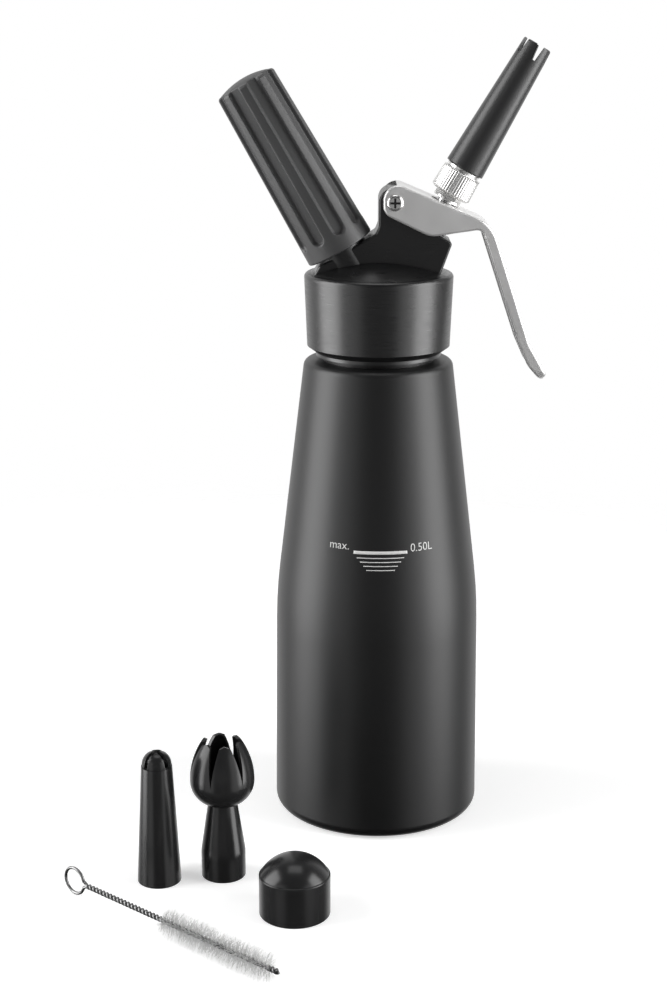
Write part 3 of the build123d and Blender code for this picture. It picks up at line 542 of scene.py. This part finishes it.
print("star tip")
tip = {
    "bottom": 62.4, "top": 113.65, "baseRadius": 7.42, "topRadius": 5.55, "endRadius": 5.3, "crown": 0.5,
    "bodyRound": 0.3, "edge": 0.2, "boreHigh": 4.6, "boreLow": 4.4, "socket": 5.0, "socketDepth": 8.0,
    "prongs": 5, "slot": 1.8, "slotMouth": 3.0, "slotDepth": 5.7, "slotTurn": 8.0, "slotStart": 3.0,
    "segments": 160, "sharp": 35.0,     # degrees between faces, past which an edge stays sharp
}
socketTop = tip["bottom"] + tip["socketDepth"]
tipProfile = roundedPath([
    (tip["socket"], tip["bottom"]),
    (tip["baseRadius"], tip["bottom"], tip["bodyRound"]),
    (tip["topRadius"], tip["top"] - tip["crown"], tip["bodyRound"]),
    (tip["endRadius"], tip["top"], tip["edge"]),
    (tip["boreHigh"], tip["top"], tip["edge"]),
    (tip["boreLow"], socketTop),
    (tip["socket"], socketTop),
], closed=True)
points, faces = turned(apex, nozzleAxis, tipProfile, tip["segments"])
starTip = newPiece("starProngs", points, faces, "tipPlastic", "tip", ["star_tip"])
# Each slot is cut by a block from the slot's floor to as far beyond the end of the tip. Half way up,
# at the end of the tip, the block has widened to the slot's mouth.
slotTurns = radians(tip["slotTurn"]) - pi / 2 + 2 * pi * np.arange(tip["prongs"])[:, None] / tip["prongs"]
outward = np.cos(slotTurns) * nozzleAcross + np.sin(slotTurns) * away
sideways = np.cross(nozzleAxis, outward)
floorHeight, endHeight = tip["top"] - tip["slotDepth"], tip["top"] + tip["slotDepth"]
slotWidth = tip["slot"]
endWidth = slotWidth + (tip["slotMouth"] - slotWidth) * 2
corners = [(-slotWidth, floorHeight), (slotWidth, floorHeight), (endWidth, endHeight), (-endWidth, endHeight)]
blocks = np.stack([apex + mm * (reach * outward + side / 2 * sideways + height * nozzleAxis)
                   for reach in (tip["slotStart"], 2 * tip["topRadius"]) for side, height in corners], 1)
blockFaces = np.array([(3, 2, 1, 0), (4, 5, 6, 7), (0, 1, 5, 4), (1, 2, 6, 5), (2, 3, 7, 6), (3, 0, 4, 7)])
blockStarts = 8 * np.arange(tip["prongs"])[:, None, None]
slotMesh = bpy.data.meshes.new("slots")
slotMesh.from_pydata(blocks.reshape(-1, 3).tolist(), [], (blockFaces + blockStarts).reshape(-1, 4).tolist())
slots = bpy.data.objects.new("slots", slotMesh)
bpy.context.scene.collection.objects.link(slots)
cutting = starTip.modifiers.new("slots", "BOOLEAN")
cutting.operation, cutting.solver, cutting.object = "DIFFERENCE", "EXACT", slots
bpy.context.view_layer.update()
slotted = bpy.data.meshes.new_from_object(starTip.evaluated_get(bpy.context.evaluated_depsgraph_get()))
starTip.modifiers.remove(cutting)
starTip.data = slotted
bpy.data.objects.remove(slots)
slotted.shade_smooth()
slotted.set_sharp_from_angle(angle=radians(tip["sharp"]))

print("valve spring")
spring = {
    "low": 32.5, "high": 44.2, "radius": 4.9, "wire": 0.55, "turns": 5.0, "shortest": 0.69,
    "points": 300, "sides": 12,
}
turns = np.linspace(0, spring["turns"] * 2 * pi, spring["points"])
climb = spring["high"] - spring["low"] - 2 * spring["wire"]
rise = spring["low"] + spring["wire"] + climb * turns / turns[-1]
around = np.cos(turns)[:, None] * nozzleAcross + np.sin(turns)[:, None] * away
coil = apex + mm * (spring["radius"] * around + rise[:, None] * nozzleAxis)
points, faces = tube(coil, np.gradient(coil, axis=0), spring["wire"] * mm, spring["sides"])
valveSpring = newPiece("springCoil", points, faces, "valveSteel", "head", ["valve_spring"])
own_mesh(valveSpring)

print("protective cap")
cap = {
    "radius": 12.6, "rim": 15.0, "crown": 7.0, "edge": 0.45, "footRound": 0.4, "bore": 9.7, "depth": 12.0,
    "full": (2.2, 1.2), "crownPoints": 33, "crowding": 1.5, "segments": 128,
}
capReach = cap["radius"] - cap["edge"]
# The crown is fuller than a ball's: (reach / full reach) ** 2.2 + (rise / full rise) ** 1.2 = 1.
# Its points lie closer together near the rim, where it is steep.
share = 1 - np.linspace(0, 1, cap["crownPoints"])[1:, None] ** cap["crowding"]
domeReach = capReach * share
domeRise = cap["rim"] + cap["crown"] * (1 - share ** cap["full"][0]) ** (1 / cap["full"][1])
capOutside = roundedPath([
    (0, cap["depth"]),
    (cap["bore"], cap["depth"]),
    (cap["bore"], 0, cap["footRound"]),
    (cap["radius"], 0, cap["footRound"]),
    (cap["radius"], cap["rim"], cap["edge"]),
    (capReach - tiny, cap["rim"]),
])
capProfile = np.vstack([capOutside, np.hstack([domeReach, domeRise])])
capLow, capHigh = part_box("protective_cap")
capFoot = np.array([(capLow[0] + capHigh[0]) / 2, (capLow[1] + capHigh[1]) / 2, capLow[2]])
points, faces = turned(capFoot, up, capProfile, cap["segments"], closed=False)
newPiece("capShell", points, faces, "capPlastic", "cap", ["protective_cap"])

print("cleaning brush")
brush = {
    "ringCentre": (-109.6, -83.4, 5.4), "direction": -40.7, "ringRadius": 4.8, "ringWire": 0.56,
    "ringGap": 14.0,                # degrees from the stem to where each end of the ring opens
    "reach": 99.0, "strand": 0.5, "twist": 3.6, "twistStart": 1.5, "cutEnd": 0.4,
    "ringPoints": 60, "strandPoints": 760, "sides": 8,
}
centre = np.array(brush["ringCentre"]) * mm
alongBrush = np.array([cos(radians(brush["direction"])), sin(radians(brush["direction"])), 0])
acrossBrush = np.array([-alongBrush[1], alongBrush[0], 0])


def byBrush(along, side, rise):
    # Distances in mm along the stem, sideways and upwards from the ring's middle.
    place = along[..., None] * alongBrush + side[..., None] * acrossBrush + rise[..., None] * up
    return centre + place * mm


strands, strandFaces, offset = [], [], 0
for start in (0, pi):
    along = np.linspace(brush["ringRadius"] + brush["twistStart"], brush["reach"] - brush["cutEnd"],
                        brush["strandPoints"])
    turn = start + 2 * pi * along / brush["twist"]
    strand = byBrush(along, brush["strand"] * np.cos(turn), brush["strand"] * np.sin(turn))
    # the open ends of the ring run into the twist from both sides
    ringEnds = (pi, radians(brush["ringGap"])) if start else (-pi, -radians(brush["ringGap"]))
    around = np.linspace(*ringEnds, brush["ringPoints"])
    ringHalf = byBrush(brush["ringRadius"] * np.cos(around), 0 * around, brush["ringRadius"] * np.sin(around))
    line = np.vstack([ringHalf, strand])
    points, faces = tube(line, np.gradient(line, axis=0), brush["ringWire"] * mm, brush["sides"])
    strands.append(points.reshape(-1, 3))
    strandFaces.append(faces + offset)
    offset += len(strands[-1])
newPiece("brushWire", np.vstack(strands), np.vstack(strandFaces), "brushSteel", "brush",
         ["brush_wire"], weld=0)

bristle = {
    "count": 2400, "seed": 7, "start": 45.0, "end": 95.0, "reach": 5.9, "wire": 0.05, "clearance": 0.1,
    "lowShare": 0.62, "lowEnd": (-3, 5),    # shorter towards the ring, over this stretch
    "uneven": 0.84,                         # the shortest against its neighbours
    "scatter": 0.5, "leanAlong": 0.14, "leanRound": 0.12,
    "steps": (0.1, 0.4, 0.72, 1.0), "widths": (1, 1, 0.8, 0.35), "sides": 3,
}
# Each bristle is a thin three-sided spike held in the twist: it starts beside the wire at the
# angle of the twist there, and leans and bends a little by chance.
chance = np.random.default_rng(bristle["seed"])
count = bristle["count"]
along = bristle["start"] + (bristle["end"] - bristle["start"]) * chance.random(count)
turn = 2 * pi * along / brush["twist"] + pi * chance.integers(0, 2, count)
turn = turn + chance.normal(0, bristle["scatter"], count)
taper = smooth(bristle["start"] + bristle["lowEnd"][0], bristle["start"] + bristle["lowEnd"][1], along)
reach = bristle["reach"] * (bristle["lowShare"] + (1 - bristle["lowShare"]) * taper)
reach = reach * chance.uniform(bristle["uneven"], 1.0, count)
leanAlong = chance.normal(0, bristle["leanAlong"], count)
leanRound = chance.normal(0, bristle["leanRound"], count)
steps = np.array(bristle["steps"])[:, None]
distance = steps * reach
# bristles that reach the table bend along it
lowest = bristle["clearance"] - brush["ringCentre"][2]
spot = byBrush(along + distance * leanAlong * steps, distance * np.cos(turn + leanRound * steps),
               np.maximum(distance * np.sin(turn + leanRound * steps), lowest))
thin = bristle["wire"] * mm * np.array(bristle["widths"])[:, None, None, None]
corner = np.linspace(0, 2 * pi, bristle["sides"], endpoint=False)[None, None, :]
sideways = -np.sin(turn)[None, :, None] * np.cos(corner)
upwards = np.cos(turn)[None, :, None] * np.cos(corner)
ringOf = np.sin(corner)[..., None] * alongBrush + sideways[..., None] * acrossBrush + upwards[..., None] * up
hair = spot[:, :, None] + thin * ringOf
hair = hair.transpose(1, 0, 2, 3).reshape(-1, 3)
rows, columns = len(bristle["steps"]), bristle["sides"]
firstPoint = rows * columns * np.arange(count)[:, None, None]
hairFaces = (firstPoint + gridFaces(rows, columns, aroundColumns=True)).reshape(-1, 4)
newPiece("brushBristles", hair, hairFaces, "bristleNylon", "brush",
         ["brush_bristles"], weld=0)

print("floor, light and camera")
studio = {
    "floorRadius": 0.42, "floorPlace": (-0.03, 0.1), "floorSides": 96, "floorWhite": 0.84, "floorGlow": 0.5,
    "floorFade": (0.62, 0.98),              # shares of its radius between which the paper fades out
    "worldFront": 0.03, "worldBack": 0.05, "frontLimit": -0.2, "backLimit": 0.9,
    "whiteBehind": (0.2, 0.8),              # how far back a direction points: no white, full white
}
ring = np.linspace(0, 2 * pi, studio["floorSides"], endpoint=False)
floorMesh = bpy.data.meshes.new("floor")
floorPoints = np.stack([np.cos(ring), np.sin(ring), 0 * ring], -1) * studio["floorRadius"]
floorPoints = (floorPoints + [*studio["floorPlace"], 0]).tolist()
floorMesh.from_pydata(floorPoints, [], [list(range(studio["floorSides"]))])
floor = bpy.data.objects.new("floor", floorMesh)
floor.visible_glossy = False        # its mirror image would lift the dark middle of the black coats
bpy.context.scene.collection.objects.link(floor)
floorPaint = bpy.data.materials.new("floorPaper")
floorPaint.use_nodes = True
nodes, links = floorPaint.node_tree.nodes, floorPaint.node_tree.links
nodes.clear()


def backgroundRays(nodes, links, rays):
    # 1 for the rays that should meet a white background: camera, glossy and transmission rays.
    first, second = addNode(nodes, "Math", operation="MAXIMUM"), addNode(nodes, "Math", operation="MAXIMUM")
    links.new(rays.outputs["Is Camera Ray"], first.inputs[0])
    links.new(rays.outputs["Is Glossy Ray"], first.inputs[1])
    links.new(first.outputs[0], second.inputs[0])
    links.new(rays.outputs["Is Transmission Ray"], second.inputs[1])
    return second.outputs[0]


output = addNode(nodes, "OutputMaterial")
paper = addNode(nodes, "BsdfDiffuse", Color=(studio["floorWhite"],) * 3 + (1,))
glow = addNode(nodes, "Emission", Color=(1, 1, 1, 1))
clear = addNode(nodes, "BsdfTransparent")
background = backgroundRays(nodes, links, addNode(nodes, "LightPath"))
strength = addNode(nodes, "Math", operation="MULTIPLY")
strength.inputs[1].default_value = studio["floorGlow"]
links.new(background, strength.inputs[0])
links.new(strength.outputs[0], glow.inputs["Strength"])
lit = addNode(nodes, "AddShader")
links.new(paper.outputs[0], lit.inputs[0])
links.new(glow.outputs[0], lit.inputs[1])
# the paper fades out towards its rim
coords = addNode(nodes, "TexCoord")
centred = addNode(nodes, "Mapping", Location=(-studio["floorPlace"][0], -studio["floorPlace"][1], 0))
distance = addNode(nodes, "VectorMath", operation="LENGTH")
fadeStart, fadeEnd = studio["floorFade"]
fade = addNode(nodes, "MapRange", interpolation_type="SMOOTHSTEP",
               From_Min=studio["floorRadius"] * fadeStart, From_Max=studio["floorRadius"] * fadeEnd)
links.new(coords.outputs["Object"], centred.inputs["Vector"])
links.new(centred.outputs["Vector"], distance.inputs[0])
links.new(distance.outputs["Value"], fade.inputs["Value"])
mixed = addNode(nodes, "MixShader")
links.new(fade.outputs["Result"], mixed.inputs[0])
links.new(lit.outputs[0], mixed.inputs[1])
links.new(clear.outputs[0], mixed.inputs[2])
links.new(mixed.outputs[0], output.inputs["Surface"])
floorMesh.materials.append(floorPaint)

world = bpy.data.worlds.new("studio")
bpy.context.scene.world = world
world.use_nodes = True
nodes, links = world.node_tree.nodes, world.node_tree.links
nodes.clear()
output = addNode(nodes, "OutputWorld")
white = addNode(nodes, "Background", Color=(1, 1, 1, 1))
room = addNode(nodes, "Background", Color=(1, 1, 1, 1))
rays = addNode(nodes, "LightPath")
background = backgroundRays(nodes, links, rays)
coords = addNode(nodes, "TexCoord")
direction = addNode(nodes, "SeparateXYZ")
links.new(coords.outputs["Generated"], direction.inputs[0])
# the room is dim, and a little lighter behind the object than in front
depth = addNode(nodes, "MapRange", interpolation_type="SMOOTHSTEP", From_Min=studio["frontLimit"],
                From_Max=studio["backLimit"], To_Min=studio["worldFront"], To_Max=studio["worldBack"])
links.new(direction.outputs["Y"], depth.inputs["Value"])
links.new(depth.outputs["Result"], room.inputs["Strength"])
# glossy and transmission rays meet the white background where it stands, behind the object
whiteFrom, whiteFull = studio["whiteBehind"]
behind = addNode(nodes, "MapRange", interpolation_type="SMOOTHSTEP", From_Min=whiteFrom, From_Max=whiteFull)
links.new(direction.outputs["Y"], behind.inputs["Value"])
reflected = addNode(nodes, "Math", operation="MULTIPLY")
links.new(behind.outputs["Result"], reflected.inputs[0])
links.new(background, reflected.inputs[1])
# the camera meets it everywhere
seen = addNode(nodes, "Math", operation="MAXIMUM")
links.new(rays.outputs["Is Camera Ray"], seen.inputs[0])
links.new(reflected.outputs[0], seen.inputs[1])
pick = addNode(nodes, "MixShader")
links.new(seen.outputs[0], pick.inputs[0])
links.new(room.outputs[0], pick.inputs[1])
links.new(white.outputs[0], pick.inputs[2])
links.new(pick.outputs[0], output.inputs["Surface"])

lamps = {
    # name: place, size across and high, watts, point it looks at
    "leftBox": ((-0.94, -0.1, 0.3), (0.7, 1.3), 15, (0, 0, 0.15)),
    "rightBox": ((0.92, -0.25, 0.3), (0.6, 1.3), 14, (0, 0, 0.15)),
    "leftCard": ((-0.6, -0.66, 0.1), (0.45, 1.0), 1.15, (0, 0, 0.15)),
    "rightCard": ((0.62, -0.64, 0.1), (0.45, 1.0), 1.5, (0, 0, 0.15)),
    "frontBox": ((0.0, -1.35, 0.0), (1.0, 0.5), 0.3, (0, 0, 0.22)),
    "topBox": ((0.0, -0.05, 1.2), (0.7, 0.5), 2.2, (0, 0, 0.1)),
}
for name, (where, size, watts, target) in lamps.items():
    lamp = bpy.data.lights.new(name, "AREA")
    lamp.shape = "RECTANGLE"
    lamp.size, lamp.size_y = size
    lamp.energy = watts
    stand = bpy.data.objects.new(name, lamp)
    bpy.context.scene.collection.objects.link(stand)
    stand.visible_camera = False
    stand.location = where
    stand.rotation_euler = (Vector(target) - Vector(where)).to_track_quat("-Z", "Y").to_euler()

view = {"place": (-0.01688, -0.6868, 0.3131), "tilt": -15.4, "lens": 66.6, "sensor": 36, "nearest": 0.01}
camera = bpy.data.objects.new("camera", bpy.data.cameras.new("camera"))
bpy.context.scene.collection.objects.link(camera)
camera.location = view["place"]
camera.rotation_euler = (radians(90 + view["tilt"]), 0, 0)
camera.data.lens = view["lens"]
camera.data.sensor_width = view["sensor"]
camera.data.clip_start = view["nearest"]
bpy.context.scene.camera = camera
bpy.context.scene.view_settings.view_transform = "Standard"
